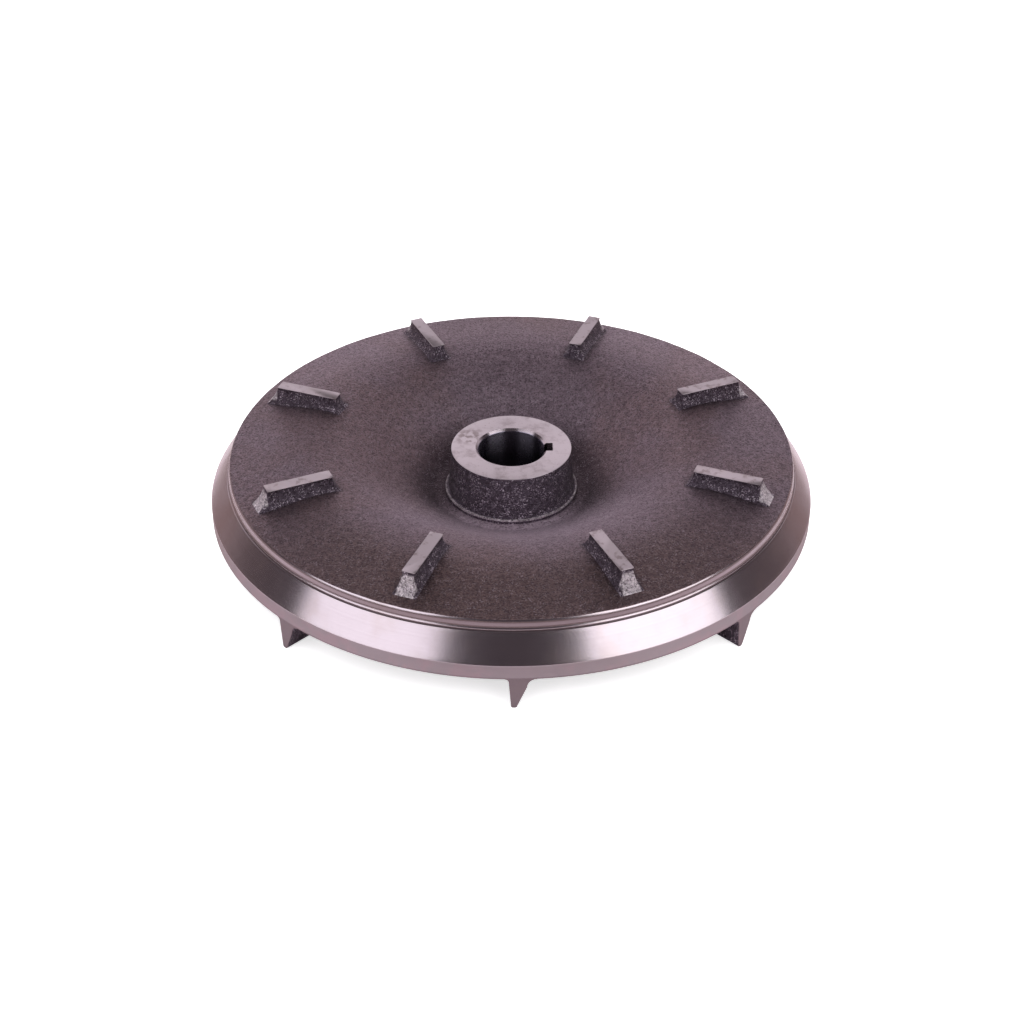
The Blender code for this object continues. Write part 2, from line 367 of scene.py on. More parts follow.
# %% Repeat a shape about the shaft
def repeated_tree():
    """Places equal copies of a mesh round the Z axis, each a little out of true."""
    tree, sizes = shape_tree("repeated_about_shaft", {
        "Count": "Int", "First Angle": "Float", "Out of True": "Float", "Seed": "Int",
        **COMMON_SIZES})
    points = tree.add("GeometryNodePoints", {}, {"Count": sizes["Count"]})
    index = tree.add("GeometryNodeInputIndex")
    stray = tree.add("FunctionNodeRandomValue", {"data_type": "FLOAT"},
                     {"Seed": sizes["Seed"], "ID": index}, 1)
    angle = sizes["First Angle"] + index * (2 * math.pi) / sizes["Count"]
    angle = angle + (stray - 0.5) * sizes["Out of True"]
    turn = tree.add("ShaderNodeCombineXYZ", {}, {"Z": angle})
    shape = tree.add("GeometryNodeInstanceOnPoints", {},
                     {"Points": points, "Instance": sizes["Geometry"], "Rotation": turn})
    shape = tree.add("GeometryNodeRealizeInstances", {}, {"Geometry": shape})
    finish_shape(tree, shape, sizes)
    return tree.nodes


# %% Run a tree on a piece and keep the plain mesh
def run_tree(name, mesh, group, **sizes):
    """A piece whose mesh is what the tree makes of a starting mesh."""
    piece = bpy.data.objects.new(name, mesh)
    bpy.context.scene.collection.objects.link(piece)
    modifier = piece.modifiers.new(group.name, "NODES")
    modifier.node_group = group
    for item in group.interface.items_tree:
        label = item.name.lower().replace(" ", "_")
        if item.in_out == "INPUT" and label in sizes:
            modifier[item.identifier] = sizes[label]
    graph = bpy.context.evaluated_depsgraph_get()
    plain = bpy.data.meshes.new_from_object(piece.evaluated_get(graph))
    piece.modifiers.remove(modifier)
    piece.data = plain
    plain.name = name
    plain.calc_loop_triangles()
    print(name, "has", len(plain.loop_triangles), "triangles")
    return piece


turned_group = turned_tree()
repeated_group = repeated_tree()

# %% [markdown]
# ## Finishes first
# The pieces take their material from the tree that shapes them, so the finishes come first. The
# cast skin is iron that froze against sand: dark, half glossy, with a grain of about a millimetre,
# small pits and faint brown and lilac patches. A metal shader with a strong fine bump gives the
# glitter that a plain grey would miss, and pale specks in the colour add painted glints. Painted
# shade and painted light are worked out from the place on the casting, and the hub wall, the ribs
# and the vanes have a deeper grain and a skin darkened as painted shade.

# %% Shared start of every finish
def finish_tree(name):
    material = bpy.data.materials.new(name)
    material.use_nodes = True
    material.node_tree.nodes.clear()
    return material, Tree(material.node_tree)


def mixed(tree, share, first, second):
    """Colour that goes from the first to the second as the share goes from 0 to 1."""
    return tree.add("ShaderNodeMix", {"data_type": "RGBA"},
                    {"Factor": share, 6: first, 7: second}, 2)


def ranged(tree, value, start, end, low=0.0, high=1.0):
    """Value moved from one range to another, held at both ends."""
    return tree.add("ShaderNodeMapRange", {"interpolation_type": "SMOOTHSTEP"},
                    {"Value": value, 1: start, 2: end, 3: low, 4: high})


def cloudy(tree, place, size, detail=2.0, roughness=0.5):
    """Noise with patches of about the given size in metres."""
    return tree.add("ShaderNodeTexNoise", {},
                    {"Vector": place, "Scale": 1 / size, "Detail": detail,
                     "Roughness": roughness})


def bumped(tree, height, distance, strength, below=None):
    inputs = {"Height": height, "Distance": distance, "Strength": strength}
    if below:
        inputs["Normal"] = below
    return tree.add("ShaderNodeBump", {}, inputs)


def close_finish(tree, material, constants, **varying):
    shader = tree.node("ShaderNodeBsdfPrincipled", {}, {**constants, **varying})
    tree.node("ShaderNodeOutputMaterial", {}, {"Surface": Flow(tree, shader.outputs[0])})
    return material


# %% Places on the casting that a finish can ask for
class Place:
    """Object coordinates of a tree, with the distance from the shaft and from a rib."""

    def __init__(self, tree):
        self.tree = tree
        self.point = tree.add("ShaderNodeTexCoord", {}, {}, "Object")
        split = tree.node("ShaderNodeSeparateXYZ", {}, {0: self.point})
        self.x, self.y, self.z = (Flow(tree, split.outputs[axis]) for axis in ("X", "Y", "Z"))
        self.radius = tree.math("SQRT", self.x * self.x + self.y * self.y)
        self.towards_back = self.y / (self.radius + MM)

    def past_rib(self):
        """How far a point lies past the ends and past the sides of the nearest rib top."""
        tree, share = self.tree, 2 * math.pi / RIB_COUNT
        angle = tree.math("ARCTAN2", self.y, self.x) - RIB_FIRST_ANGLE
        fold = angle - share * tree.math("ROUND", angle / share)
        along = self.radius * tree.math("COSINE", fold) - (RIB_INNER + RIB_OUTER) / 2
        aside = self.radius * tree.math("SINE", fold)
        past_end = tree.math("ABSOLUTE", along) - (RIB_OUTER - RIB_INNER) / 2
        return past_end, tree.math("ABSOLUTE", aside) - RIB_WIDTH / 2

    def rib_distance(self):
        tree = self.tree
        end, side = (tree.math("MAXIMUM", past, 0.0) for past in self.past_rib())
        return tree.math("SQRT", end * end + side * side)


# %% Cast skin
BROWN_SKIN = (0.290, 0.210, 0.228, 1.0)
LILAC_SKIN = (0.295, 0.228, 0.268, 1.0)
# Colour of the painted shade on the front of the rim
FRONT_SHADE_SKIN = (0.180, 0.124, 0.118, 1.0)
COOL_SKIN = (0.150, 0.125, 0.160, 1.0)
DARK_SKIN = (0.040, 0.028, 0.036, 1.0)
LIGHT_SKIN = (0.66, 0.58, 0.66, 1.0)
PALE_SKIN = (0.85, 0.77, 0.81, 1.0)
# Colour of the painted light in the bowl and on the far rim
PAINTED_LIGHT_SKIN = (0.42, 0.325, 0.400, 1.0)


def back_painted_shading(tree, place, skin):
    """Painted shade at the front rim, round the hub and round the ribs; painted light in the bowl and
    on the far rim.
    """
    ragged = cloudy(tree, place.point, 0.030, 4.0, 0.6)
    # Painted shade: the camera side of the back goes darker towards the rim
    front = ranged(tree, place.towards_back, -0.25, -0.85)
    rim = ranged(tree, place.radius + 0.02 * ragged, 0.122, 0.168)
    skin = mixed(tree, front * rim * 0.85, skin, FRONT_SHADE_SKIN)
    # Painted shade round the foot of the hub, at its sides and back
    hub = ranged(tree, place.radius + 0.012 * ragged, 0.086, 0.058)
    sides = ranged(tree, place.towards_back, -0.92, -0.40)
    skin = mixed(tree, sides * hub * 0.85, skin, DARK_SKIN)
    # Painted shade round the feet of the ribs
    ribs = ranged(tree, place.rib_distance() + 0.006 * ragged, 0.0115, 0.0045)
    skin = mixed(tree, ribs * 0.65, skin, DARK_SKIN)
    # Painted light in the front of the bowl and on the far rim at the sides
    bowl = ranged(tree, place.radius + 0.01 * ragged, 0.132, 0.088)
    painted_light = bowl * (0.04 + 0.78 * ranged(tree, place.towards_back, -0.1, -1.05))
    far_rim = ranged(tree, place.radius + 0.02 * ragged, 0.150, 0.180)
    far_sides = ranged(tree, place.towards_back, 0.30, 0.60) * ranged(
        tree, place.towards_back, 0.99, 0.86)
    painted_light = painted_light + 0.28 * far_rim * far_sides
    return mixed(tree, painted_light * 0.8, skin, PAINTED_LIGHT_SKIN), painted_light


def rough_places(tree, place, skin):
    """A cooler tone, with painted highlights on the outer ends of the ribs and the ring at the foot
    of the hub.
    """
    skin = mixed(tree, 0.8, skin, COOL_SKIN)
    # Painted highlight on the outer ends of the ribs
    past_end, past_side = place.past_rib()
    ends = ranged(tree, past_end, 0.1 * MM, 0.9 * MM)
    ends = ends * ranged(tree, past_side, 2.2 * MM, 1.0 * MM)
    ends = ends * ranged(tree, place.radius, 0.168, 0.1705) * ranged(tree, place.z, 0.050, 0.0515)
    patchy_highlight = ranged(tree, cloudy(tree, place.point, 0.0011, 2.0), 0.30, 0.60, 0.45, 1.0)
    skin = mixed(tree, ends * patchy_highlight, skin, PALE_SKIN)
    # Painted highlight on the ring at the foot of the hub
    ring = ranged(tree, place.radius, HUB_FOOT_RADIUS + 0.9 * MM, HUB_FOOT_RADIUS + 1.5 * MM)
    ring = ring * ranged(tree, place.z, COLLAR_TOP_Z + 1 * MM, COLLAR_TOP_Z)
    ring = ring * ranged(tree, place.z, COLLAR_TOP_Z - 1.6 * MM, COLLAR_TOP_Z - 1.0 * MM)
    ring = ring * ranged(tree, place.radius, 0.060, 0.050)
    return mixed(tree, ring * patchy_highlight, skin, PALE_SKIN), 0.9 * ends


def cast_skin(name, grain_size, grain_depth, unshaded_share, pits, painted_glint_share, gloss, markings):
    """Skin of a sand casting with a grain of the given size and depth."""
    material, tree = finish_tree(name)
    place = Place(tree)
    patches = ranged(tree, cloudy(tree, place.point, 0.090, 3.0), 0.40, 0.62)
    skin = mixed(tree, patches, BROWN_SKIN, LILAC_SKIN)
    # Painted shade: the hub wall, ribs and vanes keep only part of the skin colour and go the rest of
    # the way to dark
    skin = mixed(tree, 1.0 - unshaded_share, skin, DARK_SKIN)
    skin, painted_light = markings(tree, place, skin)
    grain = cloudy(tree, place.point, grain_size, 2.0, 0.65)
    lumps = cloudy(tree, place.point, 0.0042, 2.0)
    hollows = ranged(tree, grain, 0.55, 0.32)
    mottle = ranged(tree, cloudy(tree, place.point, 0.0032, 3.0, 0.65), 0.36, 0.62)
    skin = mixed(tree, 0.34 * mottle, skin, DARK_SKIN)
    skin = mixed(tree, hollows * pits, skin, DARK_SKIN)
    # Painted glints: pale specks in the colour of the skin
    specks = ranged(tree, cloudy(tree, place.point, grain_size * 0.7, 1.0), 0.55, 0.66)
    specks = specks * ranged(tree, lumps, 0.38, 0.60)
    skin = mixed(tree, specks * painted_glint_share, skin, LIGHT_SKIN)
    # The painted light and painted highlights are also rougher and less metallic
    roughness = gloss + 0.14 * lumps + 0.08 * hollows + 0.1 * painted_light
    coarse = bumped(tree, lumps, 0.0011, 0.5)
    fine = bumped(tree, grain, grain_depth, 0.8, coarse)
    return close_finish(tree, material, {"Specular IOR Level": 0.4},
                        **{"Metallic": 0.94 - 0.42 * painted_light, "Base Color": skin,
                           "Roughness": roughness, "Normal": fine})


RIB_COUNT = 8
RIB_FIRST_ANGLE = math.pi / RIB_COUNT + math.radians(1.1)
RIB_INNER = 126.4 * MM
RIB_OUTER = 170.2 * MM
RIB_WIDTH = 8.7 * MM
cast = cast_skin("cast_skin", 0.0013, 0.0011, 1.0, 0.62, 0.30, 0.29, back_painted_shading)
rough_cast = cast_skin("rough_cast_skin", 0.0012, 0.0024, 0.38, 0.7, 1.0, 0.24, rough_places)

# %% [markdown]
# The machined faces are bare iron with the marks of the tool. A turned face carries very fine
# rings, which stretch every reflection across them. Anisotropy gives that stretch, turned by a
# quarter so that it runs across the rings and not along them. A noise that only changes with the
# distance from the shaft and with the height gives the few rings that can be seen.

# %% Turned and bored faces
BARE_IRON = (0.60, 0.545, 0.58, 1.0)
DULL_IRON = (0.40, 0.345, 0.36, 1.0)
WARM_IRON = (0.50, 0.42, 0.40, 1.0)


def turned_finish(name, roughness, anisotropy, ring_pitch, ring_depth, stain, zones=None):
    """Bare iron with rings of the tool, faint stains and a given gloss."""
    material, tree = finish_tree(name)
    place = Place(tree)
    lathe = tree.add("ShaderNodeCombineXYZ", {}, {"X": place.radius, "Z": place.z})
    rings = cloudy(tree, lathe, ring_pitch, 3.0, 0.7)
    markings = ranged(tree, cloudy(tree, place.point, 0.035, 4.0, 0.6), 0.48, 0.72)
    colour = mixed(tree, 0.45 + 0.4 * rings, DULL_IRON, BARE_IRON)
    colour = mixed(tree, markings * stain, colour, WARM_IRON)
    smudge = cloudy(tree, place.point, 0.010, 4.0, 0.6)
    gloss = roughness - 0.04 + 0.06 * smudge + 0.02 * rings + 0.08 * markings * stain
    if zones:
        colour, gloss = zones(tree, place, colour, gloss)
    normal = bumped(tree, rings, ring_depth, 0.25)
    along_grooves = {"Metallic": 1.0, "Anisotropic": anisotropy, "Anisotropic Rotation": 0.25}
    return close_finish(tree, material, along_grooves,
                        **{"Base Color": colour, "Roughness": gloss, "Normal": normal})


def rim_zones(tree, place, colour, gloss):
    """Painted shade in the groove and on the step wall, and the duller cut of the band, lightened as
    painted reflection.
    """
    # Painted shade in the groove of the cone
    cone_radius = WALL_RADIUS + (CONE_TOP_Z - place.z) * CONE_RUN
    sunk = ranged(tree, cone_radius - place.radius, 0.08 * MM, 0.35 * MM)
    groove = sunk * ranged(tree, place.z, CONE_TOP_Z, CONE_TOP_Z - 0.8 * MM)
    colour = mixed(tree, groove * 0.8, colour, DARK_RIM_IRON)
    # Painted shade on the step wall above the cone
    wall = ranged(tree, place.z, CONE_TOP_Z - 0.3 * MM, CONE_TOP_Z + 0.5 * MM)
    wall = wall * ranged(tree, place.z, WALL_TOP_Z + 0.3 * MM, WALL_TOP_Z - 0.5 * MM)
    colour = mixed(tree, wall * 0.7, colour, WALL_SHADE_IRON)
    # Painted reflection: the colour of the band is lightened towards the bright floor that it mirrors
    band = ranged(tree, place.z, BAND_TOP_Z, BAND_TOP_Z - 0.4 * MM)
    colour = mixed(tree, band * 0.3, colour, PALE_IRON)
    patches = ranged(tree, cloudy(tree, place.point, 0.016, 3.0), 0.50, 0.66)
    colour = mixed(tree, band * patches * 0.45, colour, PINK_IRON)
    # A cloudy brown tint on the sides and back of the rim, none in front
    sides = ranged(tree, place.towards_back, -0.62, -0.30)
    film = ranged(tree, cloudy(tree, place.point, 0.045, 4.0, 0.6), 0.36, 0.60, 0.25, 1.0)
    colour = mixed(tree, sides * film * 0.6, colour, BROWN_RIM_TINT)
    # Darker towards the bottom edge of the band
    lower = ranged(tree, place.z, BAND_BOTTOM_Z + 1.6 * MM, BAND_BOTTOM_Z + 0.4 * MM)
    colour = mixed(tree, lower * 0.5, colour, DARK_RIM_IRON)
    return colour, gloss + 0.14 * band + 0.2 * groove


def hub_zones(tree, place, colour, gloss):
    """Faint mottling of the face and a brown smudge beside the bore."""
    colour = mixed(tree, 0.75, colour, PALE_IRON)
    mottle = ranged(tree, cloudy(tree, place.point, 0.009, 5.0, 0.7), 0.46, 0.70)
    colour = mixed(tree, mottle * 0.55, colour, DULL_IRON)
    from_smudge = tree.add("ShaderNodeVectorMath", {"operation": "DISTANCE"},
                           {0: place.point, 1: (-0.028, 0.013, HUB_TOP_Z)}, "Value")
    smudge = ranged(tree, from_smudge, 13 * MM, 4 * MM)
    smudge = smudge * ranged(tree, cloudy(tree, place.point, 0.004, 3.0), 0.40, 0.56)
    colour = mixed(tree, smudge * 0.55, colour, RUST)
    specks = ranged(tree, cloudy(tree, place.point, 0.0014, 2.0), 0.66, 0.76)
    colour = mixed(tree, specks * 0.5, colour, RUST)
    return colour, gloss + 0.1 * smudge + 0.05 * mottle


def bore_zones(tree, place, colour, gloss):
    """The bore has its own colour and a painted shade that deepens downwards; the chamfer keeps the
    turned colour.
    """
    inside = ranged(tree, place.radius, BORE_RADIUS + 0.5 * MM, BORE_RADIUS + 0.1 * MM)
    colour = mixed(tree, inside, colour, BORE_IRON)
    # Painted shade that deepens down the bore
    deeper = ranged(tree, place.z, HUB_TOP_Z - 3 * MM, HUB_TOP_Z - 24 * MM)
    return mixed(tree, deeper * 0.9, colour, BORE_DEPTH_SHADE), gloss


def top_zones(tree, place, colour, gloss):
    """Rust and dirt left on the tops of the ribs."""
    colour = mixed(tree, 0.35, colour, PALE_IRON)
    dirt = ranged(tree, cloudy(tree, place.point, 0.006, 5.0, 0.7), 0.52, 0.66)
    colour = mixed(tree, dirt * 0.45, colour, RUST)
    return colour, gloss + 0.08 * dirt


CONE_RUN = (OUTSIDE_RADIUS - WALL_RADIUS) / (CONE_TOP_Z - BAND_TOP_Z)
# Painted shade in the groove, also used for the darker bottom edge of the band
DARK_RIM_IRON = (0.16, 0.115, 0.120, 1.0)
# Colour of the painted shade on the step wall
WALL_SHADE_IRON = (0.24, 0.195, 0.205, 1.0)
# Brown tint for the sides and back of the rim
BROWN_RIM_TINT = (0.40, 0.30, 0.29, 1.0)
PINK_IRON = (0.48, 0.36, 0.39, 1.0)
PALE_IRON = (0.80, 0.745, 0.785, 1.0)
BORE_IRON = (0.42, 0.39, 0.47, 1.0)
# Colour of the painted shade deep in the bore
BORE_DEPTH_SHADE = (0.055, 0.050, 0.065, 1.0)
RUST = (0.24, 0.17, 0.16, 1.0)
rim_iron = turned_finish("turned_rim", 0.23, 0.55, 0.0009, 0.00002, 0.4, rim_zones)
face_iron = turned_finish("turned_face", 0.36, 0.3, 0.0007, 0.00005, 0.4, hub_zones)
bore_iron = turned_finish("bored_hub", 0.27, 0.92, 0.0007, 0.00002, 0.2, bore_zones)
flat_iron = turned_finish("milled_tops", 0.40, 0.3, 0.0010, 0.00005, 0.5, top_zones)

# %% [markdown]
# ## The turned pieces
# Each zone of the casting is its own closed ring, so that each can have its own finish. Every
# outline runs clockwise, partly along the surface that shows and partly inside the metal. Where a
# machined zone meets a cast one, the machined ring comes up through the skin, which leaves the
# slightly ragged edge that a tool leaves on a real casting.

# %% Outlines of the cast back and the cast front
TURN_STEPS = 288
CAST_STEP = 2.5 * MM
CRISP = math.radians(28)
SKIN_UNEVEN = 0.5 * MM
SKIN_PATCHES = 60.0

inner_z = COLLAR_FOOT_Z - BACK_SHARE
back_outline = subdivided(rounded_outline([
    (43.2 * MM, DISH_FOOT_Z, 0),
    (dish_radius_at(DISH_FOOT_Z), DISH_FOOT_Z, FOOT_FILLET),
    (*crown_corner(), CROWN_ROUND),
    (SKIN_EDGE_RADIUS, rim_line_z(SKIN_EDGE_RADIUS), SKIN_EDGE_ROUND),
    (SKIN_EDGE_RADIUS, rim_line_z(SKIN_EDGE_RADIUS, BACK_SHARE), 0),
    (*crown_corner(BACK_SHARE), CROWN_ROUND),
    (dish_radius_at(inner_z, BACK_SHARE), inner_z, 0),
    (43.2 * MM, inner_z, 0)]), CAST_STEP)

nose_radius = dish_radius_at(NOSE_Z, WALL_DROP)
front_outline = subdivided(rounded_outline([
    (NOSE_FACE_RADIUS, NOSE_Z + 4 * MM, 0),
    (dish_radius_at(NOSE_Z + 8 * MM, FRONT_SHARE), NOSE_Z + 8 * MM, 0),
    (*crown_corner(FRONT_SHARE), CROWN_ROUND),
    (184.0 * MM, rim_line_z(184.0 * MM, FRONT_SHARE), 0),
    (198.0 * MM, BAND_TOP_Z - 3 * MM, 0),
    (199.5 * MM, BAND_BOTTOM_Z + 1 * MM, 0),
    (199.5 * MM, BAND_BOTTOM_Z, 0),
    (LAND_RADIUS, BAND_BOTTOM_Z, LAND_ROUND),
    (CUP_RADIUS, rim_line_z(CUP_RADIUS, WALL_DROP), CUP_FILLET),
    (*crown_corner(WALL_DROP), FRONT_CROWN_ROUND),
    (nose_radius, NOSE_Z, NOSE_ROUND)]), CAST_STEP)
print("outline points:", len(back_outline), "for the back,", len(front_outline), "for the front")

# %% Outlines of the machined rim and the hub
cone_top = Vector((WALL_RADIUS, CONE_TOP_Z))
down_cone = (Vector((OUTSIDE_RADIUS, BAND_TOP_Z)) - cone_top).normalized()
into_cone = Vector((down_cone.y, -down_cone.x))
groove_start = cone_top + down_cone * GROOVE_START
groove_end = groove_start + down_cone * GROOVE_WIDTH
groove_floor = (groove_start + groove_end) / 2 + into_cone * GROOVE_DEPTH
rim_outline = subdivided(rounded_outline([
    (184.5 * MM, WALL_TOP_Z - 1 * MM, 0),
    (WALL_RADIUS - EDGE_FLAT_RUN, WALL_TOP_Z + EDGE_FLAT_RISE, 0),
    (WALL_RADIUS, WALL_TOP_Z, 3.0 * MM),
    (*cone_top, 3.0 * MM),
    (*groove_start, 0.1 * MM),
    (*groove_floor, 0.3 * MM),
    (*groove_end, 0.1 * MM),
    (OUTSIDE_RADIUS, BAND_TOP_Z, EDGE_BREAK),
    (OUTSIDE_RADIUS, BAND_BOTTOM_Z, EDGE_BREAK),
    (199.0 * MM, BAND_BOTTOM_Z, 0),
    (198.0 * MM, BAND_BOTTOM_Z + 2 * MM, 0),
    (195.0 * MM, BAND_TOP_Z, 0),
    (184.5 * MM, CONE_TOP_Z - 2 * MM, 0)]), CAST_STEP)

hub_wall_outline = subdivided(rounded_outline([
    (HUB_CORE_RADIUS + 2 * MM, HUB_TOP_Z - 0.4 * MM, 0),
    (HUB_TOP_RADIUS, HUB_TOP_Z - 0.35 * MM, 0),
    (HUB_FOOT_RADIUS, COLLAR_TOP_Z, 1.5 * MM),
    (COLLAR_RADIUS, COLLAR_TOP_Z, 0.8 * MM),
    (COLLAR_RADIUS - 0.5 * MM, DISH_FOOT_Z - 1 * MM, 0),
    (HUB_CORE_RADIUS + 2 * MM, COLLAR_FOOT_Z - 3 * MM, 0)]), CAST_STEP)

FACE_Z = HUB_TOP_Z
CHAMFER_RADIUS = BORE_RADIUS + BORE_CHAMFER
NOSE_FACE_Z = NOSE_Z - 0.05 * MM
hub_core_outline = subdivided(rounded_outline([
    (CHAMFER_RADIUS, FACE_Z, 0),
    (HUB_TOP_RADIUS - 0.05 * MM, FACE_Z, 0.2 * MM),
    (HUB_TOP_RADIUS - 0.05 * MM, FACE_Z - 0.7 * MM, 0),
    (HUB_CORE_RADIUS, FACE_Z - 3 * MM, 0),
    (HUB_CORE_RADIUS, NOSE_Z + 4 * MM, 0),
    (NOSE_FACE_RADIUS + 0.3 * MM, NOSE_Z + 1 * MM, 0),
    (NOSE_FACE_RADIUS + 0.3 * MM, NOSE_FACE_Z, 0),
    (CHAMFER_RADIUS, NOSE_FACE_Z, 0),
    (BORE_RADIUS + 0.5 * MM, NOSE_Z + 3 * MM, 0),
    (BORE_RADIUS + 0.5 * MM, FACE_Z - 3 * MM, 0)]), 6 * MM)

bore_outline = subdivided(rounded_outline([
    (CHAMFER_RADIUS, FACE_Z, 0),
    (BORE_RADIUS + 2.2 * MM, FACE_Z - 3 * MM, 0),
    (BORE_RADIUS + 2.2 * MM, NOSE_Z + 3 * MM, 0),
    (CHAMFER_RADIUS, NOSE_FACE_Z, 0),
    (BORE_RADIUS, NOSE_Z + BORE_CHAMFER, 0),
    (BORE_RADIUS, FACE_Z - BORE_CHAMFER, 0.3 * MM)]), 6 * MM)


# %% Turn the six rings
def turned_piece(name, outline, material, uneven):
    mesh = bpy.data.meshes.new(name)
    mesh.from_pydata([(point.x, 0, point.y) for point in outline], [], [])
    return run_tree(name, mesh, turned_group, steps=TURN_STEPS, unevenness=[uneven] * 3,
                    patches_per_metre=SKIN_PATCHES, crisp_angle=CRISP, material=material)


back_disc = turned_piece("back_disc", back_outline, cast, SKIN_UNEVEN)
front_disc = turned_piece("front_disc", front_outline, cast, SKIN_UNEVEN)
hub_wall = turned_piece("hub_wall", hub_wall_outline, rough_cast, SKIN_UNEVEN)
machined_rim = turned_piece("machined_rim", rim_outline, rim_iron, 0.0)
hub_core = turned_piece("hub_core", hub_core_outline, face_iron, 0.0)
shaft_bore = turned_piece("shaft_bore", bore_outline, bore_iron, 0.0)

# %% [markdown]
# ## The keyway
# A broach cuts the keyway along one side of the bore, so a straight box is taken out of both rings
# of the hub, and the cut faces get the finish of the bore. The exact solver keeps the long edges
# sharp, and the edges are then marked crisp again.

# %% Cut the keyway
def cut_keyway(piece):
    bm = bmesh.new()
    bmesh.ops.create_cube(bm, size=1.0)
    tall = 2 * (HUB_TOP_Z - NOSE_Z)
    bmesh.ops.scale(bm, vec=(KEYWAY_REACH, KEYWAY_WIDTH, tall), verts=bm.verts)
    bmesh.ops.translate(bm, vec=(KEYWAY_REACH / 2, 0, HUB_TOP_Z / 2), verts=bm.verts)
    mesh = bpy.data.meshes.new("keyway_box")
    bm.to_mesh(mesh)
    bm.free()
    box = bpy.data.objects.new("keyway_box", mesh)
    bpy.context.scene.collection.objects.link(box)
    cut = piece.modifiers.new("keyway", "BOOLEAN")
    cut.operation = "DIFFERENCE"
    cut.solver = "EXACT"
    cut.object = box
    graph = bpy.context.evaluated_depsgraph_get()
    plain = bpy.data.meshes.new_from_object(piece.evaluated_get(graph))
    piece.modifiers.remove(cut)
    piece.data = plain
    plain.materials[0] = bore_iron
    plain.shade_smooth()
    plain.set_sharp_from_angle(angle=CRISP)
    bpy.data.objects.remove(box)


for piece in (hub_core, shaft_bore):
    cut_keyway(piece)
    print("faces of", piece.name, "with its keyway:", len(piece.data.polygons))

# %% [markdown]
# ## The back ribs
# Eight short ribs on the back keep the liquid behind the impeller turning, which takes load off
# the shaft seal. Each was drawn out of the sand along the shaft, so its flanks lean, and they lean
# further towards the foot. Rings of points from the machined top down to the foot follow that
# lean, and the last rings sink into the back so that no seam shows.

# %% Measure the turned surfaces
def surface_heights(outline, radius):
    """Every height at which a closed outline crosses a radius, lowest first."""
    heights = []
    for index, point in enumerate(outline):
        after = outline[(index + 1) % len(outline)]
        if min(point.x, after.x) <= radius <= max(point.x, after.x) and point.x != after.x:
            share = (radius - point.x) / (after.x - point.x)
            heights.append(point.y + share * (after.y - point.y))
    return sorted(heights)


def back_z(radius):
    return surface_heights(back_outline, radius)[-1]


def front_z(radius):
    return surface_heights(front_outline, radius)[0]


print("height of the back under the ribs:", round(back_z(148 * MM) / MM, 1), "mm")


# %% Join rings of points into a closed skin
def lofted_mesh(name, rings):
    """Closed mesh through rings of the same number of points, capped at both ends."""
    bm = bmesh.new()
    rows = [[bm.verts.new(point) for point in ring] for ring in rings]
    for row, following in zip(rows, rows[1:]):
        for index in range(len(row)):
            after = (index + 1) % len(row)
            bm.faces.new((row[index], row[after], following[after], following[index]))
    bm.faces.new(rows[0])
    bm.faces.new(rows[-1])
    bmesh.ops.recalc_face_normals(bm, faces=bm.faces)
    mesh = bpy.data.meshes.new(name)
    bm.to_mesh(mesh)
    bm.free()
    return mesh


# %% Shape of one rib
RIB_CORNER = 0.5 * MM
TOP_THICKNESS = 0.35 * MM


def rib_top_outline(inset=0.0):
    half = RIB_WIDTH / 2 - inset
    start, end = RIB_INNER + inset, RIB_OUTER - inset
    return subdivided(rounded_outline([
        (start, -half, RIB_CORNER), (end, -half, RIB_CORNER),
        (end, half, RIB_CORNER), (start, half, RIB_CORNER)]), 2 * MM)


# Each row is a share of the way down and the lean there of the side, inner and outer end
RIB_LEANS = [(share, side * MM, inner * MM, outer * MM) for share, side, inner, outer in (
    (0.00, -0.04, -0.04, -0.04), (0.06, -0.30, -0.20, 0.00), (0.15, -0.45, -0.10, 0.50),
    (0.28, -0.35, 0.10, 1.30), (0.42, -0.10, 0.35, 2.20), (0.54, 0.30, 0.75, 3.05),
    (0.65, 0.75, 1.15, 3.90), (0.75, 1.25, 1.60, 4.70), (0.84, 1.80, 2.10, 5.45),
    (0.91, 2.35, 2.70, 6.15), (0.96, 2.85, 3.20, 6.85), (1.00, 3.50, 3.90, 7.70))]


def spread_outline(side, inner, outer):
    """The top outline grown by a lean on each side."""
    length = RIB_OUTER - RIB_INNER
    stretch = (length + inner + outer) / length
    widen = 1 + side / (RIB_WIDTH / 2)
    return [Vector((RIB_INNER - inner + (point.x - RIB_INNER) * stretch, point.y * widen))
            for point in rib_top_outline()]


def rib_rings():
    foot_points = spread_outline(*RIB_LEANS[-1][1:])
    foot_z = [back_z(point.length) for point in foot_points]
    top = RIB_TOP_Z - TOP_THICKNESS
    rings = []
    for share, *leans in RIB_LEANS:
        rings.append([(point.x, point.y, top - share * (top - z))
                      for point, z in zip(spread_outline(*leans), foot_z)])
    for further, sink in ((0.9 * MM, 0.10 * MM), (1.8 * MM, 0.3 * MM), (1.8 * MM, 4 * MM)):
        wider = spread_outline(*(lean + further for lean in RIB_LEANS[-1][1:]))
        rings.append([(point.x, point.y, back_z(point.length) - sink) for point in wider])
    return rings


def rib_top_rings():
    levels = ((0.12 * MM, 0.0), (0.0, 0.12 * MM), (0.0, TOP_THICKNESS + 0.05 * MM))
    return [[(point.x, point.y, RIB_TOP_Z - drop) for point in rib_top_outline(inset)]
            for inset, drop in levels]


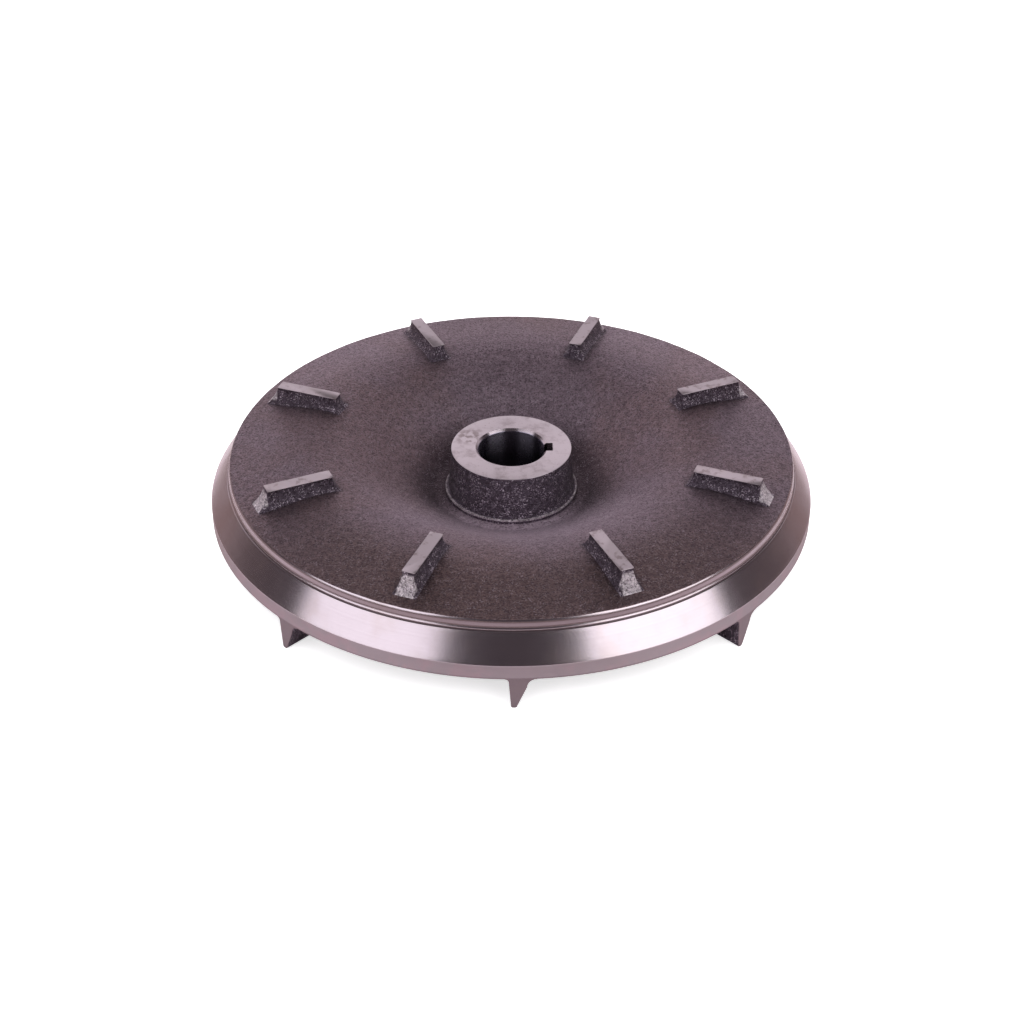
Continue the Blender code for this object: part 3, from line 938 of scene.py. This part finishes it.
# %% Repeat the ribs and their machined tops
FRONT_VANES = 8
rib_places = {"count": RIB_COUNT, "first_angle": RIB_FIRST_ANGLE,
              "out_of_true": math.radians(0.3), "seed": 3, "patches_per_metre": SKIN_PATCHES,
              "crisp_angle": math.radians(40)}
back_ribs = run_tree("back_ribs", lofted_mesh("rib", rib_rings()), repeated_group,
                     unevenness=[SKIN_UNEVEN] * 3, material=rough_cast, **rib_places)
rib_tops = run_tree("rib_tops", lofted_mesh("rib_top", rib_top_rings()), repeated_group,
                    unevenness=[SKIN_UNEVEN, SKIN_UNEVEN, 0.0], material=flat_iron, **rib_places)

# %% [markdown]
# ## The front vanes
# The vanes do the pumping. One flank is steep and the other leans back to a thick root, so the
# edge that runs past the casing is only three millimetres wide. Every section is a cut along a
# cylinder about the shaft, which lets the root follow the turned underside exactly. At the rim the
# vane was turned together with the band, so its end is a thin machined plate on that cylinder.

# %% Section of one vane
VANE_TIP_WIDTH = 3.1 * MM
VANE_TIP_ROUND = 1.2 * MM
VANE_KNEE_Z = 20.0 * MM
STEEP_LEAN = 0.075
SLANT_LEAN = 0.404
ROOT_LEAN = 0.035
STEEP_FILLET = 2.3 * MM
SLANT_FILLET = 5.8 * MM
VANE_START = 47.0 * MM
VANE_LEVEL_START = 56.0 * MM
VANE_NOSE_RISE = 0.9


def vane_side(lean, fillet, tip_z, root_z, bury):
    """Points of one flank as distance from the middle and height, root first."""
    def reach(height):
        return (VANE_TIP_WIDTH / 2 + lean * min(height, VANE_KNEE_Z)
                + ROOT_LEAN * max(height - VANE_KNEE_Z, 0))
    fillet = min(fillet, 0.4 * (root_z - tip_z))
    edge = reach(root_z - fillet) + fillet
    points = [(edge + bury, root_z + bury / 4)] if bury else [(edge, root_z + 0.8 * MM)]
    for step in range(6):
        turn = step / 5 * math.pi / 2
        points.append((edge - fillet * math.sin(turn),
                       root_z - fillet * (1 - math.cos(turn))))
    tip_round = min(VANE_TIP_ROUND, 0.3 * (root_z - tip_z))
    flank = root_z - fillet - tip_z - tip_round
    for share in (0.25, 0.5, 0.75, 1.0):
        height = root_z - fillet - share * flank
        points.append((reach(height), height))
    top_reach = reach(tip_z + tip_round)
    for turn in (math.radians(30), math.radians(60), math.radians(90)):
        points.append((top_reach - tip_round * (1 - math.cos(turn)),
                       tip_z + tip_round * (1 - math.sin(turn))))
    return points


def vane_ring(radius, bury):
    """One closed section of a vane, wrapped on the cylinder of the given radius."""
    root_z = front_z(min(radius, 199.4 * MM))
    tip_z = max(0.0, VANE_NOSE_RISE * (VANE_LEVEL_START - radius))
    root_z = max(root_z, tip_z + 0.6 * MM)
    steep = vane_side(STEEP_LEAN, STEEP_FILLET, tip_z, root_z, bury)
    slant = vane_side(SLANT_LEAN, SLANT_FILLET, tip_z, root_z, bury)
    section = [(-side, height) for side, height in steep]
    section += [(side, height) for side, height in reversed(slant)]
    if bury:
        section += [(slant[0][0], root_z + 3 * MM), (-steep[0][0], root_z + 3 * MM)]
    return [(math.sqrt(radius ** 2 - side ** 2), side, height) for side, height in section]


def vane_stations():
    stations, radius = [], VANE_START
    while radius < 199.4 * MM:
        stations.append(radius)
        radius += 1.25 * MM if 172 * MM < radius < 190 * MM or radius < 60 * MM else 3 * MM
    return stations + [199.45 * MM]


# %% Repeat the vanes and their machined ends
vane_places = {"count": FRONT_VANES, "first_angle": 0.0, "out_of_true": math.radians(0.2),
               "seed": 5, "patches_per_metre": SKIN_PATCHES, "crisp_angle": math.radians(50)}
vane_mesh = lofted_mesh("vane", [vane_ring(radius, 1.2 * MM) for radius in vane_stations()])
front_vanes = run_tree("front_vanes", vane_mesh, repeated_group,
                       unevenness=[SKIN_UNEVEN, SKIN_UNEVEN, 0.0], material=rough_cast, **vane_places)
end_mesh = lofted_mesh("vane_end", [vane_ring(radius, 0.0)
                                    for radius in (199.3 * MM, OUTSIDE_RADIUS - 0.01 * MM)])
vane_ends = run_tree("vane_ends", end_mesh, repeated_group, unevenness=[0.0] * 3,
                     material=rim_iron, **vane_places)

# %% [markdown]
# ## The studio
# Polished iron shows the room more than itself. The front of the room is dark, with a large soft
# box on each side of the camera, and a bright backdrop low behind the impeller that darkens
# towards the ceiling. The boxes are area lights, and the rest is painted on the world by
# direction. One broad light from above lights the floor and the less metallic painted light on
# the skin, and no face mirrors it. The floor is two sheets: the camera sees the pale one, and the
# polished faces mirror the one just under it, which carries a painted shadow under the impeller
# and a painted pool of light close round it, and is darker further out.

# %% Floor
def floor_piece(name, half, height, under, near, far, glow):
    """Level sheet with a tone under the impeller, one close to it and one further away."""
    mesh = bpy.data.meshes.new(name)
    mesh.from_pydata([(-half, -half, height), (half, -half, height), (half, half, height),
                      (-half, half, height)], [], [(0, 1, 2, 3)])
    floor = bpy.data.objects.new(name, mesh)
    bpy.context.scene.collection.objects.link(floor)
    material, tree = finish_tree(name)
    place = Place(tree)
    unevenness = 0.05 * cloudy(tree, place.point, 0.8)
    shade = mixed(tree, ranged(tree, place.radius, 0.165, 0.20), under, near)
    shade = mixed(tree, ranged(tree, place.radius + unevenness, 0.275, 0.325), shade, far)
    close_finish(tree, material, {"Roughness": 0.9, "Specular IOR Level": 0.1,
                                  "Emission Strength": glow},
                 **{"Base Color": shade, "Emission Color": shade})
    mesh.materials.append(material)
    return floor


WHITE = (0.92, 0.92, 0.92, 1.0)
pale_floor = floor_piece("pale_floor", 60.0, 0.0, WHITE, WHITE, (0.94, 0.94, 0.94, 1.0), 0.7)
pale_floor.visible_glossy = False
pale_floor.visible_diffuse = False
pale_floor.visible_shadow = False
# The mirrored sheet: a painted shadow under the impeller, a painted pool of light close round it and
# a darker tone further out
sheet = floor_piece("reflected_floor", 6.0, -0.0002, (0.10, 0.08, 0.09, 1.0),
                    (0.88, 0.78, 0.83, 1.0), (0.26, 0.20, 0.20, 1.0), 0.0)
sheet.visible_camera = False


# %% Soft boxes and the broad light from above
def towards(azimuth, elevation):
    level = math.cos(elevation)
    return Vector((level * math.cos(azimuth), level * math.sin(azimuth), math.sin(elevation)))


def soft_box(name, side, start, end, bottom, top, radiance, colour):
    """Area light that fills a window of directions beside the camera, given in degrees."""
    distance = 4.0
    azimuth = CAMERA_AZIMUTH - math.pi / 2 + side * math.radians((start + end) / 2)
    direction = towards(azimuth, math.radians((bottom + top) / 2))
    data = bpy.data.lights.new(name, "AREA")
    data.shape = "RECTANGLE"
    data.size = 2 * distance * math.tan(math.radians((end - start) / 2))
    data.size_y = 2 * distance * math.tan(math.radians((top - bottom) / 2))
    data.energy = radiance * math.pi * data.size * data.size_y
    data.color = colour
    box = bpy.data.objects.new(name, data)
    bpy.context.scene.collection.objects.link(box)
    box.location = direction * distance
    box.rotation_euler = direction.to_track_quat("Z", "Y").to_euler()
    return box


soft_box("soft_box_right", 1, 31, 77, 10, 50, 2.2, (1.0, 0.97, 1.0))
soft_box("soft_box_left", -1, 29, 76, 10, 50, 1.75, (0.98, 0.94, 1.0))

wash = bpy.data.objects.new("floor_wash", bpy.data.lights.new("floor_wash", "SUN"))
wash.data.energy = 3.2
wash.data.angle = math.radians(100)
wash.visible_glossy = False
bpy.context.scene.collection.objects.link(wash)


# %% Backdrop and ceiling by direction
def ramp(tree, value, stops):
    return tree.add("ShaderNodeValToRGB", {"stops": stops}, {"Fac": value})


def studio_world():
    world = bpy.data.worlds.new("studio")
    world.use_nodes = True
    world.node_tree.nodes.clear()
    tree = Tree(world.node_tree)
    direction = tree.add("ShaderNodeTexCoord", {}, {}, "Generated")
    split = tree.node("ShaderNodeSeparateXYZ", {}, {0: direction})
    across, deep, up = (Flow(tree, split.outputs[axis]) for axis in ("X", "Y", "Z"))
    level = tree.math("SQRT", across * across + deep * deep)
    away = deep / (level + 0.001)
    behind = ranged(tree, away, 0.32, 0.62)
    straight = ranged(tree, away, 0.80, 0.97)
    backdrop = ramp(tree, up, [
        (0.0, (1.00, 0.86, 0.92)), (0.14, (0.90, 0.78, 0.84)), (0.33, (0.68, 0.60, 0.65)),
        (0.54, (1.02, 0.92, 0.98)), (0.62, (0.84, 0.74, 0.78)), (0.72, (0.06, 0.045, 0.042)),
        (0.82, (0.06, 0.05, 0.05)), (1.0, (0.20, 0.18, 0.19))])
    sides = ramp(tree, up, [
        (0.0, (0.22, 0.165, 0.16)), (0.10, (0.30, 0.24, 0.24)), (0.28, (1.30, 1.16, 1.24)),
        (0.56, (0.80, 0.72, 0.77)), (0.72, (0.10, 0.08, 0.08)), (1.0, (0.17, 0.15, 0.16))])
    front = ramp(tree, up, [
        (0.0, (0.16, 0.12, 0.12)), (0.25, (0.075, 0.060, 0.068)), (0.75, (0.07, 0.058, 0.066)),
        (1.0, (0.17, 0.15, 0.16))])
    sides = mixed(tree, 0.3 * ranged(tree, across, -0.3, 0.3), sides, (0.0, 0.0, 0.0, 1.0))
    back = mixed(tree, straight, sides, backdrop)
    light = mixed(tree, behind, front, back)
    shader = tree.add("ShaderNodeBackground", {}, {"Color": light, "Strength": 1.0})
    tree.node("ShaderNodeOutputWorld", {}, {"Surface": shader})
    bpy.context.scene.world = world


studio_world()
bpy.context.scene.view_settings.view_transform = "Standard"

# %% [markdown]
# ## Hand the pieces over
# The imported model stays for the physics, and these pieces stand for it in every picture. Each one
# rides on the only body, since nothing on an impeller moves against the rest.

# %% Ride and replace
cast_pieces = [back_disc, front_disc, hub_wall, back_ribs, front_vanes]
machined_pieces = [machined_rim, hub_core, shaft_bore, rib_tops, vane_ends]
for piece in cast_pieces + machined_pieces:
    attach(piece, "root")
    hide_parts(NODE)

print("pieces:", len(cast_pieces + machined_pieces))
